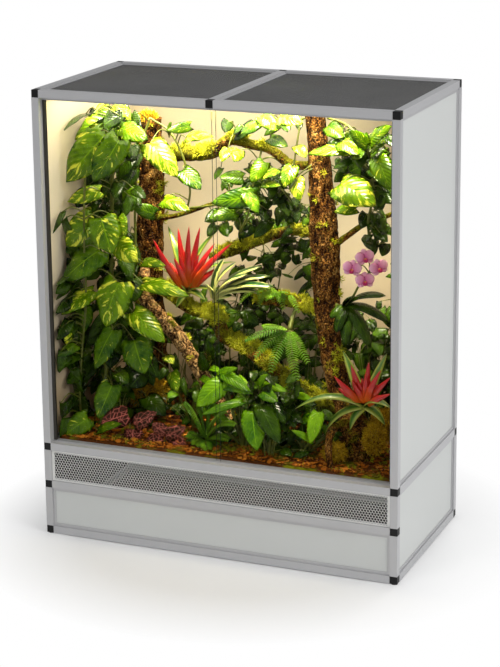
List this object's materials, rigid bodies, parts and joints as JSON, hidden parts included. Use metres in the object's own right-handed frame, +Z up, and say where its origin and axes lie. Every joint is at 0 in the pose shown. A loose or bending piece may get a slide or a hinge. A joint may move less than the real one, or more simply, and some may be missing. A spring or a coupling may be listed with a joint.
{
  "type": "reptile terrarium",
  "caption": "Tall planted terrarium: square aluminium tube frame, sliding glass doors, perforated vent strip under the doors, gauze roof panels and a closed base.",
  "frame": {"origin": "middle of the footprint on the floor, under the foot pads", "axes": "+X to the right seen from the doors, +Y from the doors to the back wall, +Z up"},
  "size_m": [0.985, 0.505, 1.2],
  "materials": {
    "tube_aluminium": "satin anodised extrusion",
    "connector_plastic": "black moulded nylon",
    "panel_grey": "light grey satin outside, cream inside",
    "vent_metal": "perforated sheet, satin grey",
    "roof_gauze": "fine dark woven gauze",
    "track_aluminium": "satin anodised extrusion",
    "channel_plastic": "black extruded edge channel",
    "door_glass": "clear float glass, polished edges",
    "bark_chips": "orange-brown bark chips with moss",
    "mossy_wood": "bark under yellow-green moss",
    "bark_wood": "rough brown bark",
    "bromeliad_leaf": "waxy red and green strap leaves",
    "orchid_bloom": "pink petals and dark strap leaves",
    "green_leaf": "glossy green leaves with cream and yellow variegation"
  },
  "bodies": {
    "cabinet": {"post_front_left_lower": "tube_aluminium", "post_front_left_middle": "tube_aluminium", "post_front_left_upper": "tube_aluminium", "post_front_right_lower": "tube_aluminium", "post_front_right_middle": "tube_aluminium", "post_front_right_upper": "tube_aluminium", "post_rear_left_lower": "tube_aluminium", "post_rear_left_upper": "tube_aluminium", "post_rear_right_lower": "tube_aluminium", "post_rear_right_upper": "tube_aluminium", "bottom_rail_front": "tube_aluminium", "bottom_rail_rear": "tube_aluminium", "bottom_rail_left": "tube_aluminium", "bottom_rail_right": "tube_aluminium", "sill_rail": "tube_aluminium", "deck_rail_front": "tube_aluminium", "deck_rail_rear": "tube_aluminium", "deck_rail_left": "tube_aluminium", "deck_rail_right": "tube_aluminium", "top_rail_front": "tube_aluminium", "top_rail_rear": "tube_aluminium", "top_rail_left": "tube_aluminium", "top_rail_right": "tube_aluminium", "roof_cross_rail": "tube_aluminium", "bottom_corners": "connector_plastic", "top_corners": "connector_plastic", "deck_connectors": "connector_plastic", "sill_tees": "connector_plastic", "roof_tees": "connector_plastic", "side_panel_left_lower": "panel_grey", "side_panel_left_upper": "panel_grey", "side_panel_right_lower": "panel_grey", "side_panel_right_upper": "panel_grey", "back_panel_lower": "panel_grey", "back_panel_upper": "panel_grey", "base_front_panel": "panel_grey", "vent_strip": "vent_metal", "roof_gauze_left": "roof_gauze", "roof_gauze_right": "roof_gauze", "base_floor": "panel_grey", "vivarium_floor": "panel_grey", "door_track_bottom": "track_aluminium", "door_track_top": "track_aluminium", "door_channel_left": "channel_plastic", "door_channel_right": "channel_plastic", "substrate_bed": "bark_chips", "trunk_left": "bark_wood", "trunk_right": "bark_wood", "upper_branch": "bark_wood", "mossy_branch": "mossy_wood", "scaly_branch": "bark_wood", "twigs": "bark_wood", "climber_left": "green_leaf", "climber_right": "green_leaf", "bromeliads": "bromeliad_leaf", "orchid": "orchid_bloom", "ferns": "green_leaf", "ground_plants": "green_leaf"},
    "left_door": {"glass_door_left": "door_glass"},
    "right_door": {"glass_door_right": "door_glass"}
  },
  "joints": [
    {"name": "left_door_slide", "type": "slide", "parent": "cabinet", "child": "left_door", "axis": [1, 0, 0], "range_m": [0, 0.455]},
    {"name": "right_door_slide", "type": "slide", "parent": "cabinet", "child": "right_door", "axis": [-1, 0, 0], "range_m": [0, 0.455]}
  ]
}
